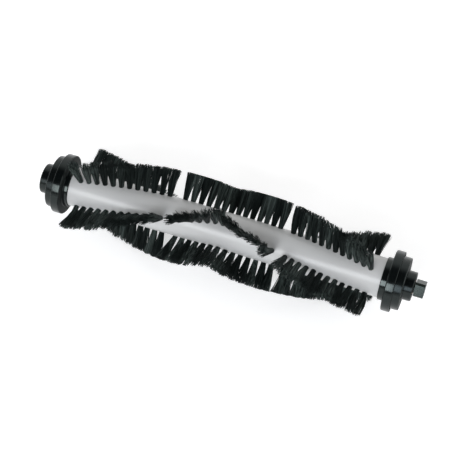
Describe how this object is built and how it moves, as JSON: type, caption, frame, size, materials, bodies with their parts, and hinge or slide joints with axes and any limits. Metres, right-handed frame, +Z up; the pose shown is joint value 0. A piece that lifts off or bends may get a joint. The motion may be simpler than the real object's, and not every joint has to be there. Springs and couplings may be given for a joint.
{
  "type": "tufted brush roller",
  "caption": "Tufted main brush roller for a floor cleaner: pale tube with wavy V rows of black nylon tufts, guard flanges, a turning bearing hub at each end and a square drive head.",
  "frame": {"origin": "on the roller's axis, midway between the idle hub's face and the end of the square drive head", "axes": "+X along the roller's axis from the idle (bearing) end to the square drive end, +Z up with the roller lying on its bristle tips"},
  "size_m": [0.18, 0.042, 0.042],
  "materials": {
    "tube_plastic": "smooth satin injection-moulded plastic",
    "bristle_nylon": "crimp-free black nylon filament, cut ends",
    "cap_plastic": "glossy black moulded plastic",
    "shaft_plastic": "matte dark glass-filled plastic",
    "steel": "turned steel",
    "anchor_wire": "flat drawn wire",
    "bush_bronze": "sintered bronze",
    "washer_plastic": "natural acetal",
    "felt": "pressed felt"
  },
  "bodies": {
    "idle_bearing": {"idle_bearing_housing": "cap_plastic", "idle_bush": "bush_bronze", "idle_felt_ring": "felt", "idle_hub_cover": "cap_plastic"},
    "brush_roller": {"roller_tube": "tube_plastic", "tuft_anchors": "anchor_wire", "bristles_a_idle": "bristle_nylon", "bristles_a_middle": "bristle_nylon", "bristles_a_drive": "bristle_nylon", "bristles_b_idle": "bristle_nylon", "bristles_b_middle": "bristle_nylon", "bristles_b_drive": "bristle_nylon", "bristles_c_idle": "bristle_nylon", "bristles_c_middle": "bristle_nylon", "bristles_c_drive": "bristle_nylon", "bristles_d_idle": "bristle_nylon", "bristles_d_middle": "bristle_nylon", "bristles_d_drive": "bristle_nylon", "idle_end_cap": "cap_plastic", "idle_axle": "steel", "idle_thrust_washer": "washer_plastic", "idle_retaining_clip": "steel", "drive_end_cap": "cap_plastic", "drive_shaft": "shaft_plastic", "drive_cross_pin": "steel", "drive_thrust_washer": "washer_plastic"},
    "drive_bearing": {"drive_bearing_sleeve": "cap_plastic", "drive_bush": "bush_bronze", "drive_felt_ring": "felt"}
  },
  "joints": [
    {"name": "brush_spin", "type": "hinge", "parent": "idle_bearing", "child": "brush_roller", "pos_m": [-0.0846, 0, 0], "axis": [1, 0, 0], "continuous": true},
    {"name": "drive_bearing_spin", "type": "hinge", "parent": "brush_roller", "child": "drive_bearing", "pos_m": [0.0805, 0, 0], "axis": [1, 0, 0], "continuous": true}
  ]
}
